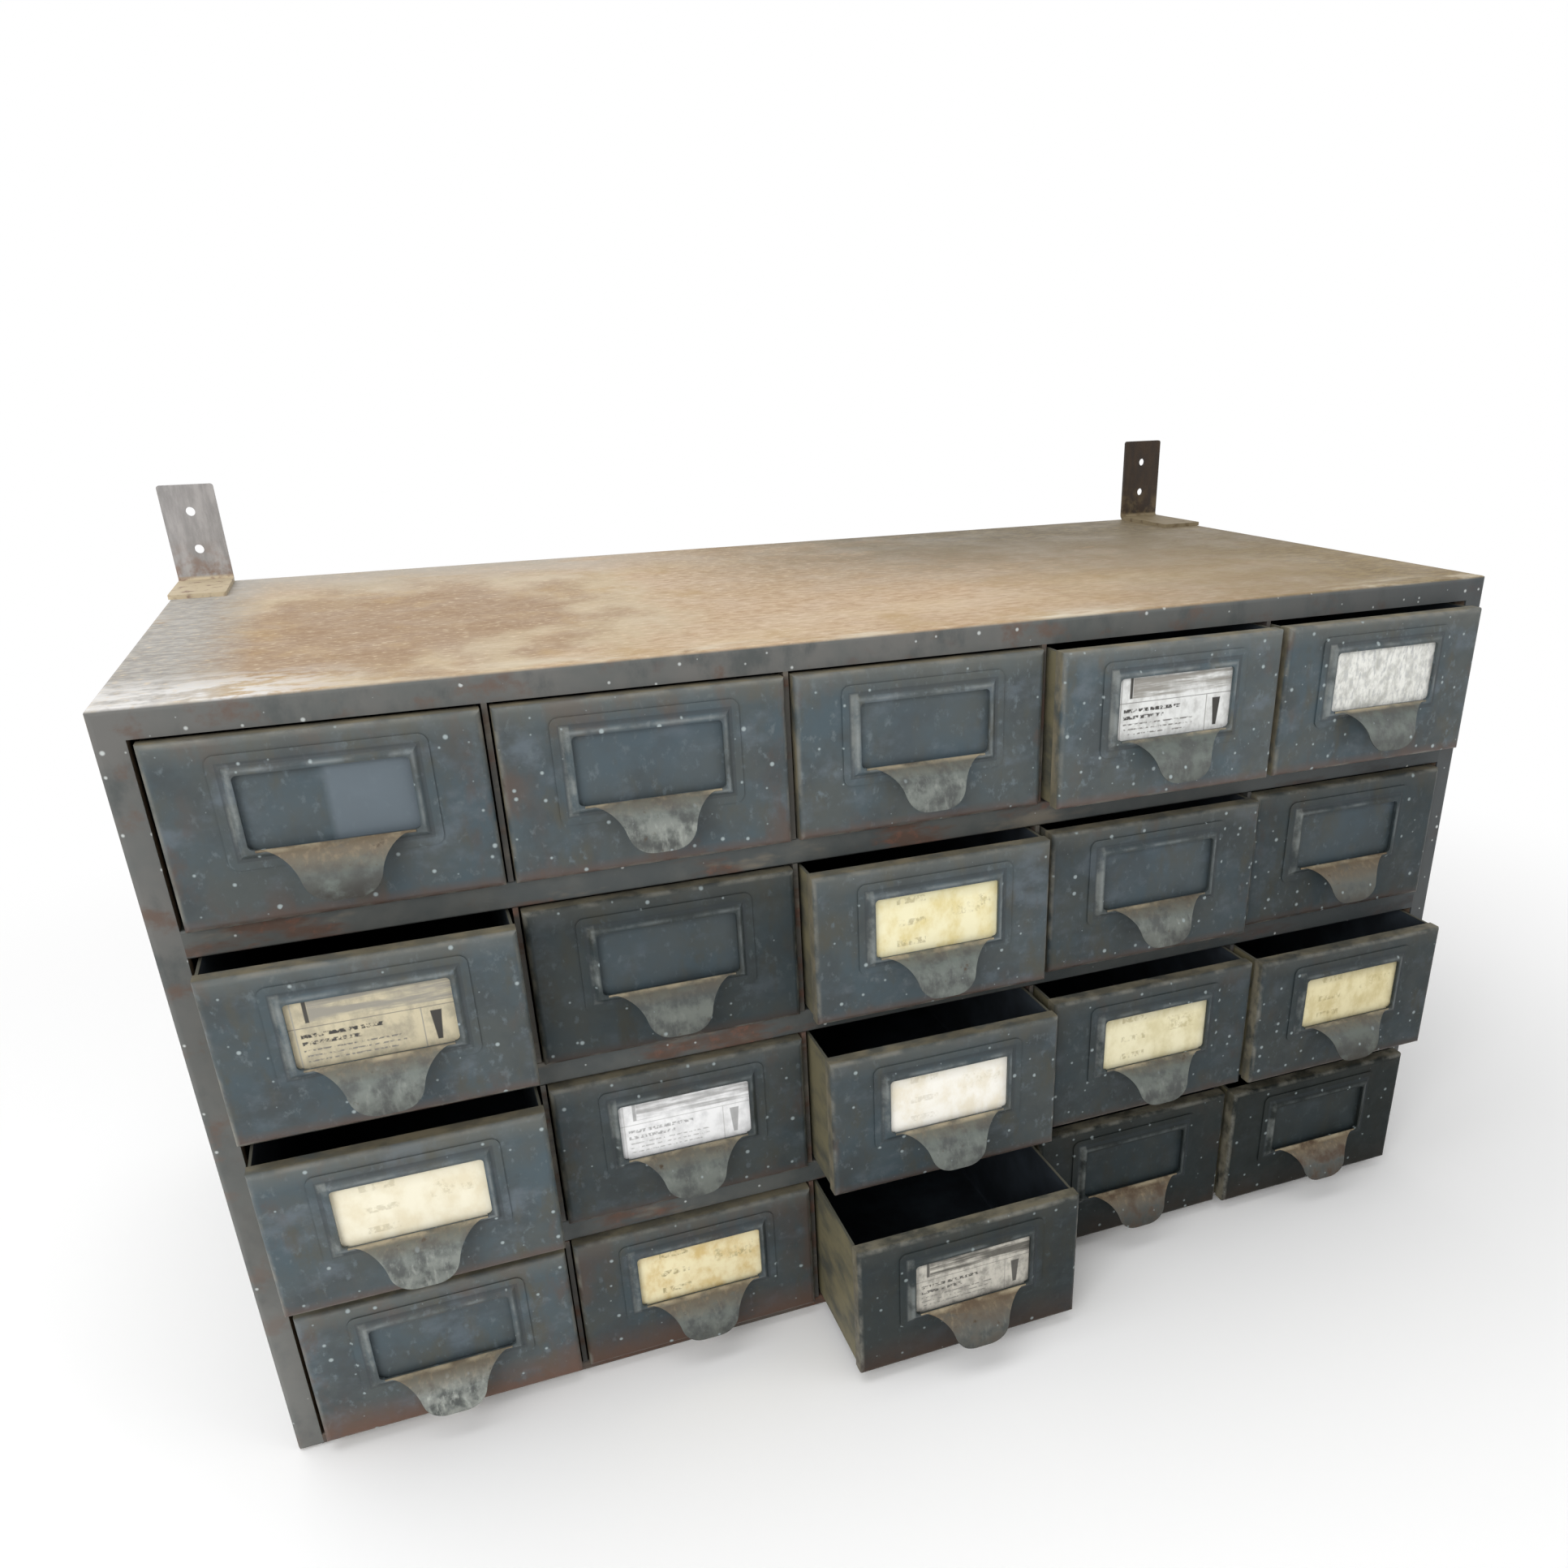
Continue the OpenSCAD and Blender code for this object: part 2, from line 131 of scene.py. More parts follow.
enamel = layers(tree, enamel, [
    (product(tree, patches(tree, place, 45, 0.5, 0.72, shift=3.1), low), "#504339"),
    (patches(tree, place, 24, 0.6, 0.78, (1.6, 1, 1), 6.0, 7.7), "#564a45"),
    (product(tree, patches(tree, place, 26, 0.48, 0.7, (1, 1, 1.5), 6.0, 1.3), in_front), "#434746"),
    (product(tree, patches(tree, place, 17, 0.52, 0.68, (1.5, 1, 1.2), 7.0, 12.4), in_front), "#594a41"),
    (product(tree, low, in_front, patches(tree, place, 40, 0.25, 0.55, shift=2.2)), "#797a76"),
    (product(tree, darker_to_right, in_front), "#31373a"),
    (product(tree, paint_specks(tree, place, 13, 1.5, 0.5), in_front), "#b4b8b6"),
    (product(tree, behind_face, within_case), "#6b5a4b"),
    (product(tree, on_side, upper_edge, patches(tree, place, 12, 0.42, 0.58, (1, 1.5, 1), 7.0, 4.9)),
     "#8f826c"),
    (product(tree, on_side, patches(tree, place, 10, 0.56, 0.66, (1, 6, 0.4), 6.0, 5.8)), "#6f6e69"),
    (product(tree, on_side, patches(tree, place, 9, 0.66, 0.72, (1, 1, 3), 6.0, 8.1)), "#5a463b"),
])
# The top's coats run from the primer up: a worn oval with a rim of dust, olive to the right and dark
# olive-brown behind it, grey along the left edge, pale dust along the left of the wall and along the
# front, plaster crust in the front left corner. Grain, flecks and dust are finer on the real one and
# are drawn 3 to 6 mm across so that they show. A band is given by where it starts and where it is full.
grain = patches(tree, place, 6, 0.3, 0.7, (1.7, 0.8, 1), 8.0)
top = add(tree, "Mix", {0: grain, 6: linear("#a08360"), 7: linear("#bea588")}, 2, data_type="RGBA")
to_left, near_corner, left_half, right_half, to_right = [
    add(tree, "MapRange", {"Value": along, "From Min": start, "From Max": end})
    for start, end in ((-365, -405), (-300, -365), (-20, -130), (-110, 110), (80, 380))]
to_front, at_front, back_half, to_wall = [
    add(tree, "MapRange", {"Value": depth, "From Min": start, "From Max": end})
    for start, end in ((-140, -190), (-185, -208), (-90, 150), (90, 200))]
away_from_olive = add(tree, "MapRange", {"Value": along, "From Min": -60, "From Max": 140,
                                         "To Min": 1.0, "To Max": 0.2})
scar_middle_mm, scar_reach_mm = (-289.8, -39.6), (140, 180)
from_scar = add(tree, "Mapping", {
    "Vector": place, "Scale": (1 / scar_reach_mm[0], 1 / scar_reach_mm[1], 0),
    "Location": (-scar_middle_mm[0] / scar_reach_mm[0], -scar_middle_mm[1] / scar_reach_mm[1], 0)})
from_scar = add(tree, "VectorMath", {0: from_scar}, "Value", operation="LENGTH")
ragged = patches(tree, place, 60, 0.2, 0.8, (1, 1.5, 1), 8.0, 1.6)
from_scar = add(tree, "Math", {0: ragged, 1: 0.8, 2: from_scar}, operation="MULTIPLY_ADD")
scar = add(tree, "MapRange", {"Value": from_scar, "From Min": 1.5, "From Max": 0.95},
           interpolation_type="SMOOTHSTEP")
rim = add(tree, "MapRange", {"Value": from_scar, "From Min": 1.95, "From Max": 1.5, "To Max": 0.7})
fleck = patches(tree, place, 5, 0.42, 0.62, (1.8, 0.7, 1), 8.0, 5.5)
top = layers(tree, top, [
    (patches(tree, place, 110, 0.5, 0.8, (1.5, 1, 1), 6.0, 3.4), "#cdb896"),
    (product(tree, rim, patches(tree, place, 50, 0.3, 0.6, (1, 2, 1), 6.0, 3.9)), "#bcad90"),
    (product(tree, scar, patches(tree, place, 60, 0.1, 0.45, (1, 1.8, 1), 7.0, 2.2)), "#8c7052"),
    (product(tree, scar, fleck), "#9c8264"),
    (patches(tree, place, 42, 0.5, 0.74, (1, 1.4, 1), 7.0, 10.1), "#a88c62"),
    (product(tree, to_right, patches(tree, place, 120, 0.1, 0.5, (1, 1.6, 1), 7.0, 6.7)), "#715f3f"),
    (product(tree, to_right, fleck), "#877550"),
    (product(tree, back_half, right_half, patches(tree, place, 90, 0.1, 0.5, (1.5, 1, 1), 7.0, 9.2)),
     "#5c513d"),
    (product(tree, back_half, right_half, fleck), "#766a51"),
    (product(tree, to_wall, left_half, patches(tree, place, 60, 0.2, 0.5, (2, 1, 1), 7.0, 9.2)), "#a59c8f"),
    (product(tree, to_left, patches(tree, place, 50, 0.15, 0.45, detail=6.0, shift=4.2)), "#8c8882"),
    (product(tree, to_left, fleck), "#a8a49d"),
    (product(tree, to_left, to_front, patches(tree, place, 12, 0.3, 0.6, (0.7, 1.4, 1), 8.0, 3.3)),
     "#c4c1bd"),
    (product(tree, near_corner, to_front, patches(tree, place, 13, 0.44, 0.57, (1.6, 0.7, 1), 8.0, 6.6)),
     "#d6d4d1"),
    (product(tree, at_front, patches(tree, place, 26, 0.46, 0.64, (3, 1, 1), 8.0, 7.3)), "#cbc0aa"),
    (patches(tree, place, 20, 0.64, 0.76, (1.4, 1, 1), 8.0, 8.8), "#8a7050"),
    (product(tree, patches(tree, place, 3.2, 0.5, 0.7, (1.6, 0.8, 1), 6.0, 1.9), grain, away_from_olive),
     "#d0bea0"),
])
colour = add(tree, "Mix", {0: on_top, 6: enamel, 7: top}, 2, data_type="RGBA")
tree.links.new(colour, shader.inputs["Base Color"])
# Enamel has no metal to show; age has dulled it to a soft sheen over shallow dents.
dull = add(tree, "MapRange", {"Value": mottle, "To Min": 0.5, "To Max": 0.7})
tree.links.new(dull, shader.inputs["Roughness"])
dents = patches(tree, place, 18, 0.2, 0.8, detail=6.0)
bump = add(tree, "Bump", {"Height": dents, "Strength": 0.25, "Distance": 0.0004}, "Normal")
tree.links.new(bump, shader.inputs["Normal"])
frame["nodes"]["case_shell"].data.materials[0] = worn_case


# Back, shelves and dividers: thinner sheet, painted with the case and spot-welded inside it. The
# rails that the drawers rub on, and the sill most of all, have rusted through their paint.
def rusting_enamel(name, shades, rust_start):
    """Grey enamel on an inner sheet, with brown rust that starts at a value of its noise."""
    material, tree, shader, place = finish(name)
    mottle = patches(tree, place, 40, 0.35, 0.65)
    colour = add(tree, "Mix", {0: mottle, 6: linear(shades[0]), 7: linear(shades[1])}, 2, data_type="RGBA")
    rust = patches(tree, place, 38, rust_start, rust_start + 0.12, (2.4, 1, 0.7), 7.0, 2.7)
    pits = patches(tree, place, 7, 0.5, 0.68, detail=6.0, shift=4.4)
    along = add(tree, "SeparateXYZ", {0: place}, "X")
    depth = along.node.outputs["Y"]
    in_front = add(tree, "MapRange", {"Value": depth, "From Min": front_face_mm + 16,
                                      "From Max": front_face_mm + 2})
    # Painted shade: the front edges darken towards the right end, where the drawers above shade the rails.
    darker_to_right = add(tree, "MapRange", {"Value": along, "From Min": 60, "From Max": 360, "To Max": 0.85})
    colour = layers(tree, colour, [
        (rust, "#4f3d33"),
        (product(tree, rust, pits), "#654638"),
        (product(tree, patches(tree, place, 20, 0.55, 0.7, (3, 1, 1), shift=9.9), in_front), "#645e53"),
        (product(tree, darker_to_right, in_front), "#2a3032"),
        (product(tree, paint_specks(tree, place, 17, 1.4, 0.36), in_front), "#a9adab"),
    ])
    tree.links.new(colour, shader.inputs["Base Color"])
    # Rust takes the enamel's sheen away and leaves the face pitted.
    dull = add(tree, "MapRange", {"Value": rust, "To Min": 0.55, "To Max": 0.85})
    tree.links.new(dull, shader.inputs["Roughness"])
    bump = add(tree, "Bump", {"Height": pits, "Strength": 0.3, "Distance": 0.0003}, "Normal")
    tree.links.new(bump, shader.inputs["Normal"])
    return material


frame["nodes"]["back_panel"].data.materials[0] = rusting_enamel(
    "grey_enamel_on_back_sheet", ("#4b4f4e", "#5c5f5d"), 0.57)
rail_paint = rusting_enamel("rubbed_enamel_on_rails", ("#3a3f3f", "#4b4d4a"), 0.55)
for row in (1, 2, 3):
    frame["nodes"][f"row_shelf_{row}"].data.materials[0] = rail_paint
frame["nodes"]["base_shelf"].data.materials[0] = rusting_enamel(
    "rust_on_sill", ("#433c37", "#51473f"), 0.4)
frame["nodes"]["column_dividers"].data.materials[0] = rusting_enamel(
    "rust_on_dividers", ("#403f3b", "#4b4841"), 0.5)


# Wall brackets: hot-rolled flat bar, bent cold, drilled, and welded to the top at the rear corners.
# The left one shows pale worn paint with rust at its bend, the right one is dark brown.
bend_level_mm = 486


def bar_finish(name, shades, rust_shade, foot_highlight_shade):
    """Paint on flat bar in two mixed shades, with rust round the bend and a foot of its own lighter shade, a
    painted highlight.
    """
    material, tree, shader, place = finish(name)
    level = add(tree, "SeparateXYZ", {0: place}, "Z")
    streaks = patches(tree, place, 6, 0.3, 0.7, (1, 1, 4), 6.0)
    colour = add(tree, "Mix", {0: streaks, 6: linear(shades[0]), 7: linear(shades[1])}, 2, data_type="RGBA")
    near_bend = add(tree, "MapRange", {"Value": level, "From Min": bend_level_mm + 26,
                                       "From Max": bend_level_mm})
    foot = add(tree, "MapRange", {"Value": level, "From Min": bend_level_mm, "From Max": bend_level_mm - 2})
    colour = layers(tree, colour, [
        (product(tree, near_bend, patches(tree, place, 10, 0.4, 0.65, detail=6.0, shift=3.3)), rust_shade),
        # Painted highlight: the flat foot takes a lighter shade than the upright, as where it faces the
        # light.
        (foot, foot_highlight_shade),
        (product(tree, foot, patches(tree, place, 9, 0.5, 0.7, detail=6.0, shift=6.3)), rust_shade),
    ])
    tree.links.new(colour, shader.inputs["Base Color"])
    # Brushed paint, dull, over mill scale whose grain is drawn 3 mm coarse so that it shows.
    shader.inputs["Roughness"].default_value = 0.6
    shader.inputs["Specular IOR Level"].default_value = 0.35
    scale = patches(tree, place, 3, 0.3, 0.7, detail=5.0)
    bump = add(tree, "Bump", {"Height": scale, "Strength": 0.25, "Distance": 0.0003}, "Normal")
    tree.links.new(bump, shader.inputs["Normal"])
    return material


frame["nodes"]["wall_bracket_left"].data.materials[0] = bar_finish(
    "pale_paint_on_flat_bar", ("#8b8988", "#a5a2a1"), "#80695b", "#bbac90")
frame["nodes"]["wall_bracket_right"].data.materials[0] = bar_finish(
    "brown_paint_on_flat_bar", ("#23190f", "#332414"), "#5f5038", "#7a6d54")


# Drawer fronts and trays: 0.8 mm sheet. The front is one pressing with a raised label frame; the
# metal of its window is folded out as the pull, where fingers have worn the enamel to bare steel.
rows, middle_column = 4, 3
pitch_mm, row_pitch_mm, lowest_front_mm = 166.98, 117.875, 8.8
front_w_mm, front_h_mm, front_proud_mm = 161.48, 99.675, 7
window_floor_mm, window_w_mm, window_h_mm = 41.175, 84, 39.5
frame_w_mm, frame_rise_mm, crest_inset_mm, pull_l_mm = 5.2, 3, 3.2, 27
tray_half_w_mm, sheet_mm = 79.94, 0.8

# Each row of this table is a row of drawers. Each entry says how silvery, how ochre and how dark that
# drawer's pull has worn, and how rusty and how grimy its enamel is.
wear = [
    [(0.0, 0.9, 1.0, 0.5, 0.15), (0.6, 0.3, 0.2, 0.6, 0.1), (0.4, 0.3, 0.1, 0.2, 0.05),
     (0.1, 0.0, 0.3, 0.2, 0.0), (0.1, 0.1, 0.3, 0.3, 0.15)],
    [(0.3, 0.4, 0.3, 0.3, 0.15), (0.2, 0.3, 0.2, 0.2, 0.65), (0.2, 0.2, 0.1, 0.3, 0.2),
     (0.3, 0.4, 0.5, 0.2, 0.45), (0.0, 0.9, 0.6, 0.4, 0.6)],
    [(0.6, 0.4, 0.1, 0.3, 0.05), (0.2, 0.4, 0.2, 0.5, 0.48), (0.2, 0.3, 0.2, 0.2, 0.36),
     (0.2, 0.2, 0.3, 0.3, 0.6), (0.0, 0.3, 0.9, 0.3, 0.64)],
    [(1.0, 0.7, 0.0, 0.6, 0.0), (0.2, 0.7, 0.4, 0.8, 0.35), (0.2, 0.9, 0.4, 0.3, 0.75),
     (0.0, 0.9, 0.7, 0.6, 0.9), (0.1, 0.9, 0.5, 0.4, 0.95)],
]


def drawer_origin(row, column, opening_mm):
    """Middle of the lower edge of a front's face, in the frame's millimetres."""
    return ((column - middle_column) * pitch_mm, front_face_mm - front_proud_mm - opening_mm,
            lowest_front_mm + (rows - row) * row_pitch_mm)


def worn_enamel(tree, place, origin, rust_share, grime, row):
    """Blue-grey enamel of one drawer with its smoke, its rust along the lower edge, its grime and a painted
    highlight below its top edge.
    """
    across = add(tree, "SeparateXYZ", {0: place}, "X")
    level = across.node.outputs["Z"]
    across = add(tree, "Math", {0: across}, operation="ABSOLUTE")
    drift = origin[0] * 0.013 + origin[2] * 0.029
    sheen = patches(tree, place, 50, 0.36, 0.64, detail=5.0, shift=drift)
    colour = add(tree, "Mix", {0: sheen, 6: linear("#454b4a"), 7: linear("#3f4e55")}, 2, data_type="RGBA")
    from_side = add(tree, "Math", {0: front_w_mm / 2, 1: across}, operation="SUBTRACT")
    from_top = add(tree, "Math", {0: front_h_mm, 1: level}, operation="SUBTRACT")
    from_rim = add(tree, "Math", {0: from_side, 1: from_top}, operation="MINIMUM")
    from_rim = add(tree, "Math", {0: from_rim, 1: level}, operation="MINIMUM")
    near_rim = add(tree, "MapRange", {"Value": from_rim, "From Min": 16 + 14 * rust_share, "From Max": 2})
    # Painted highlight: the upper 14 mm of the front is lighter, as where the rolled top edge catches the
    # light.
    top_highlight = add(tree, "MapRange", {"Value": from_top, "From Min": 14, "From Max": 2, "To Max": 0.5})
    rust_rise_mm, low_rust = (27, "#5f4435") if row == rows else (8, "#54433b")
    low = add(tree, "MapRange", {"Value": level, "From Min": rust_rise_mm, "From Max": 1})
    rust = patches(tree, place, 24, 0.6 - 0.24 * rust_share, 0.78 - 0.2 * rust_share, (0.8, 1, 1.4), 7.0,
                   drift + 5.1)
    colour = layers(tree, colour, [
        (patches(tree, place, 34, 0.44, 0.68, detail=7.0, shift=drift + 8.3), "#3a4143"),
        (patches(tree, place, 20, 0.5, 0.74, (1.4, 1, 1), 7.0, drift + 2.3), "#566067"),
        (patches(tree, place, 22, 0.5, 0.72, (0.8, 1, 1.8), 7.0, drift + 6.3), "#48483f"),
        (patches(tree, place, 5, 0.56, 0.72, (1, 1, 1.4), 5.0, drift + 3.8), "#5a6468"),
        (product(tree, near_rim, rust), "#4f433c"),
        (top_highlight, "#676862"),
        (product(tree, low, patches(tree, place, 16, 0.24, 0.5, (1.4, 1, 1), 7.0, drift + 2.9)), low_rust),
    ])
    soot = add(tree, "MapRange", {"Value": sheen, "To Min": 0.9 * grime, "To Max": grime})
    return layers(tree, colour, [(soot, "#171b19")]), across, level, from_rim, drift


def drawer_front_finish(row, column, opening_mm):
    """Enamel of one front and bare steel on its pull, from where the flap leaves the frame."""
    silver, ochre, dark, rust_share, grime = wear[row - 1][column - 1]
    origin = drawer_origin(row, column, opening_mm)
    material, tree, shader, place = finish(f"enamel_front_r{row}c{column}", origin)
    colour, across, level, from_rim, drift = worn_enamel(tree, place, origin, rust_share, grime, row)
    depth = add(tree, "SeparateXYZ", {0: place}, "Y")
    in_front = add(tree, "MapRange", {"Value": depth, "From Min": 2.0, "From Max": 1.0})
    flange = add(tree, "MapRange", {"Value": depth, "From Min": 2.0, "From Max": 3.4})
    rim = add(tree, "MapRange", {"Value": from_rim, "From Min": 2.6, "From Max": 0.8})

    # Rings round the frame, by the distance past its foot: painted shade in the crease at the foot, a rubbed
    # crest, and a painted highlight on the left of the frame, which faces the light, broken up by rubbing.
    past_x = add(tree, "Math", {0: across, 1: window_w_mm / 2 + frame_w_mm}, operation="SUBTRACT")
    past_z = add(tree, "Math", {0: level, 1: window_floor_mm + window_h_mm / 2}, operation="SUBTRACT")
    past_z = add(tree, "Math", {0: past_z}, operation="ABSOLUTE")
    past_z = add(tree, "Math", {0: past_z, 1: window_h_mm / 2 + frame_w_mm}, operation="SUBTRACT")
    past = add(tree, "Math", {0: past_x, 1: past_z}, operation="MAXIMUM")
    # Painted shade: a dark line along the frame's foot.
    foot = add(tree, "Math", {0: past}, operation="ABSOLUTE")
    foot = add(tree, "MapRange", {"Value": foot, "From Min": 1.5, "To Max": 0.5})
    crest = add(tree, "Math", {0: past, 1: crest_inset_mm}, operation="ADD")
    crest = add(tree, "Math", {0: crest}, operation="ABSOLUTE")
    crest = add(tree, "MapRange", {"Value": crest, "From Min": 1.6, "From Max": 0.2,
                                   "To Max": 0.7 - 0.5 * grime})
    # Painted highlight: the frame left of the window is lighter, as where it faces the light.
    window_left_mm = -window_w_mm / 2
    left_highlight = add(tree, "SeparateXYZ", {0: place}, "X")
    left_highlight = add(tree, "MapRange", {"Value": left_highlight, "From Min": window_left_mm,
                                       "From Max": window_left_mm - 1})
    on_frame = add(tree, "MapRange", {"Value": past, "From Min": 1, "From Max": -0.5,
                                      "To Max": 0.7 - 0.3 * grime})
    rub = patches(tree, place, 12, 0.38, 0.66, (1.5, 1, 1.5), 6.0, drift + 1.7)
    olive = patches(tree, place, 26, 0.3, 0.56, (1, 1, 1.6), 6.0, drift + 6.1)
    colour = layers(tree, colour, [
        (product(tree, foot, in_front), "#2b3033"),
        (product(tree, on_frame, left_highlight, rub, in_front), "#7c807c"),
        (product(tree, crest, rub), "#7b8181"),
        (product(tree, rim, rub), "#6f6e66"),
        (product(tree, flange, olive, 1 - 0.5 * grime), "#625e50"),
        (product(tree, flange, rub, 1 - 0.6 * grime), "#7c745f"),
    ])

    # The pull: grey steel, tan where grime keeps to its root, brighter flecks, a dark greasy tip, and a pale
    # line along the fold, partly worn steel and partly a painted highlight.
    bare = add(tree, "MapRange", {"Value": depth, "From Min": -frame_rise_mm - 0.1,
                                  "From Max": -frame_rise_mm - 0.7})
    down = add(tree, "MapRange", {"Value": level, "From Min": window_floor_mm,
                                  "From Max": window_floor_mm - pull_l_mm})
    blotch = patches(tree, place, 11, 0.36, 0.64, detail=7.0, shift=drift + 9.4)
    fleck = patches(tree, place, 4, 0.48, 0.74, (0.8, 1, 2.6), 5.0, drift + 4.9)
    # Partly painted highlight: the pale line along the fold stands for worn steel and for light caught by
    # the fold's edge.
    fold = add(tree, "MapRange", {"Value": down, "From Min": 0.07, "From Max": 0.02})
    root = add(tree, "MapRange", {"Value": down, "From Min": 0.15 + 0.4 * ochre, "From Max": 0.0,
                                  "To Max": 0.2 + 0.8 * ochre})
    lower = add(tree, "MapRange", {"Value": down, "From Min": 0.1, "From Max": 0.5})
    tip = add(tree, "MapRange", {"Value": down, "From Min": 0.6 - 0.35 * dark, "From Max": 1.0,
                                 "To Max": dark})
    shine = add(tree, "Math", {0: lower, 1: silver}, operation="MULTIPLY")
    steel = add(tree, "Mix", {0: blotch, 6: linear("#4c4f4d"), 7: linear("#616863")}, 2, data_type="RGBA")
    steel = layers(tree, steel, [
        (product(tree, shine, blotch), "#8a8d87"),
        (product(tree, shine, fleck), "#9ea29b"),
        (product(tree, root, patches(tree, place, 10, 0.2, 0.5, (1.6, 1, 1), 6.0, drift + 1.1)), "#6f604b"),
        (product(tree, root, fleck), "#857761"),
        (product(tree, tip, patches(tree, place, 9, 0.25, 0.55, detail=6.0, shift=drift + 3.7)), "#34312c"),
        (patches(tree, place, 7, 0.63, 0.76, detail=6.0, shift=drift + 6.6), "#4b4033"),
    ])
    brown = add(tree, "Math", {0: blotch, 1: ochre * grime ** 2}, operation="MULTIPLY")
    steel = layers(tree, steel, [(brown, "#4a382d"), (product(tree, fold, rub), "#a1967e")])
    colour = add(tree, "Mix", {0: bare, 6: colour, 7: steel}, 2, data_type="RGBA")

    # Spattered paint lies on the front and on the pull's lower half, thicker towards the right.
    wall_place = add(tree, "VectorMath", {0: place, 1: origin}, operation="ADD")
    cell_mm, kept = (13, 0.7) if column > middle_column else (16, 0.6)
    specks = paint_specks(tree, wall_place, cell_mm, 1.7, kept)
    painted = add(tree, "Math", {0: 1.0, 1: bare}, operation="SUBTRACT")
    upright = add(tree, "Math", {0: lower, 1: painted}, operation="MAXIMUM")
    specks = product(tree, specks, upright, in_front, 1 - 0.5 * grime)
    colour = layers(tree, colour, [(specks, "#97a2a3")])
    tree.links.new(colour, shader.inputs["Base Color"])
    # Steel under a film of grime is only a third metallic; soot takes the gloss off the enamel.
    metal = add(tree, "Math", {0: bare, 1: 0.35}, operation="MULTIPLY")
    tree.links.new(metal, shader.inputs["Metallic"])
    dull = add(tree, "MapRange", {"Value": blotch, "To Min": 0.45, "To Max": 0.6})
    tree.links.new(dull, shader.inputs["Roughness"])
    shader.inputs["Specular IOR Level"].default_value = 0.5 - 0.4 * grime
    ripple = patches(tree, place, 26, 0.2, 0.8, detail=5.0, shift=drift)
    bump = add(tree, "Bump", {"Height": ripple, "Strength": 0.2, "Distance": 0.0005}, "Normal")
    tree.links.new(bump, shader.inputs["Normal"])
    return material


def drawer_tray_finish(row, column, opening_mm):
    """Enamel on one tray: its front wall, cleaner than the front, its rubbed sides, and its inside painted
    dark as shade.
    """
    rust_share, grime = wear[row - 1][column - 1][3:]
    origin = drawer_origin(row, column, opening_mm)
    material, tree, shader, place = finish(f"enamel_tray_r{row}c{column}", origin)
    # The lowest row's walls keep more of their front's darkening: partly grime, partly painted shade, as
    # that row lies in shade.
    grime *= 0.65 if row < rows else 0.88
    colour, across, level, _, drift = worn_enamel(tree, place, origin, rust_share, grime, row)
    along = add(tree, "SeparateXYZ", {0: place}, "X")
    depth = along.node.outputs["Y"]
    bluer = product(tree, patches(tree, place, 45, 0.3, 0.6, shift=drift + 4.4), 0.4 * (1 - grime))
    colour = layers(tree, colour, [(bluer, "#43515a")])
    # Behind the first drawer's window the right half of the wall is paler.
    if (row, column) == (1, 1):
        paler = add(tree, "MapRange", {"Value": along, "From Min": -2, "From Max": 2, "To Max": 0.8})
        colour = layers(tree, colour, [(paler, "#5d6870")])
    behind = add(tree, "MapRange", {"Value": depth, "From Min": 1.1, "From Max": 1.4})
    outside = add(tree, "MapRange", {"Value": across, "From Min": tray_half_w_mm - 0.5,
                                     "From Max": tray_half_w_mm - 0.3})
    top_edge_mm = front_h_mm - sheet_mm
    on_edge = add(tree, "MapRange", {"Value": level, "From Min": top_edge_mm - 0.6,
                                     "From Max": top_edge_mm - 0.3})
    # Painted shade: the tray's inside takes two near-black shades, for the shade within the drawer.
    inside_shade_mottle = patches(tree, place, 40, 0.3, 0.7, detail=6.0, shift=drift + 2.2)
    rub = patches(tree, place, 22, 0.3, 0.6, (1, 2, 1), 6.0, drift + 1.7)
    inside = add(tree, "Mix", {0: inside_shade_mottle, 6: linear("#23272c"), 7: linear("#353c43")}, 2, data_type="RGBA")
    colour = add(tree, "Mix", {0: behind, 6: colour, 7: inside}, 2, data_type="RGBA")
    colour = layers(tree, colour, [
        (product(tree, behind, outside), "#474841"),
        (product(tree, behind, outside, rub), "#6f6951"),
        (product(tree, behind, on_edge), "#55544a"),
    ])
    tree.links.new(colour, shader.inputs["Base Color"])
    shader.inputs["Roughness"].default_value = 0.6
    shader.inputs["Specular IOR Level"].default_value = 0.5 - 0.4 * grime
    return material


for joint in frame["joints"]:
    place_name = joint["name"].removeprefix("slide_")
    row, column = int(place_name[1]), int(place_name[3])
    opening_mm = -joint["range_m"][0] * 1000
    front, tray = frame["nodes"]["drawer_front_" + place_name], frame["nodes"]["drawer_tray_" + place_name]
    front.data.materials[0] = drawer_front_finish(row, column, opening_mm)
    tray.data.materials[0] = drawer_tray_finish(row, column, opening_mm)


# Label cards: printed or handwritten card cut to the window and slid in behind the frame. They have
# yellowed and picked up grime; the marks are plain bars and strokes that say nothing. The table gives,
# by row and column, the kind of card, its shade, its stain's, the share of ink and the shade of its head:
# a printed wash on a form, a painted shadow of the frame's upper lip on a pen card.
cards = {
    (1, 4): ("form", "#dfe0de", "#bfbfbc", 1.0, "#939089"),
    (1, 5): ("blank", "#e6e6e0", "#b3b3ac", 1.0, None),
    (2, 1): ("form", "#c4ba9e", "#a59d88", 1.0, "#938f84"),
    (2, 3): ("pen", "#ece5c0", "#dccd94", 0.5, "#a8a27e"),
    (3, 1): ("pen", "#ebe5cf", "#e0d6ba", 0.3, "#c5bda5"),
    (3, 2): ("form", "#ebebeb", "#d4d4d4", 0.55, "#5b5955"),
    (3, 3): ("pen", "#f2efe6", "#e4dcc8", 0.25, "#aba798"),
    (3, 4): ("pen", "#e3dcbb", "#d0c69d", 0.5, "#77725e"),
    (3, 5): ("pen", "#dbd1a9", "#c4b687", 0.5, "#6b6651"),
    (4, 2): ("pen", "#ebe0b8", "#d2b87c", 0.7, "#b9a67c"),
    (4, 3): ("form", "#bfbbb0", "#8b8880", 0.9, "#4a4842"),
}


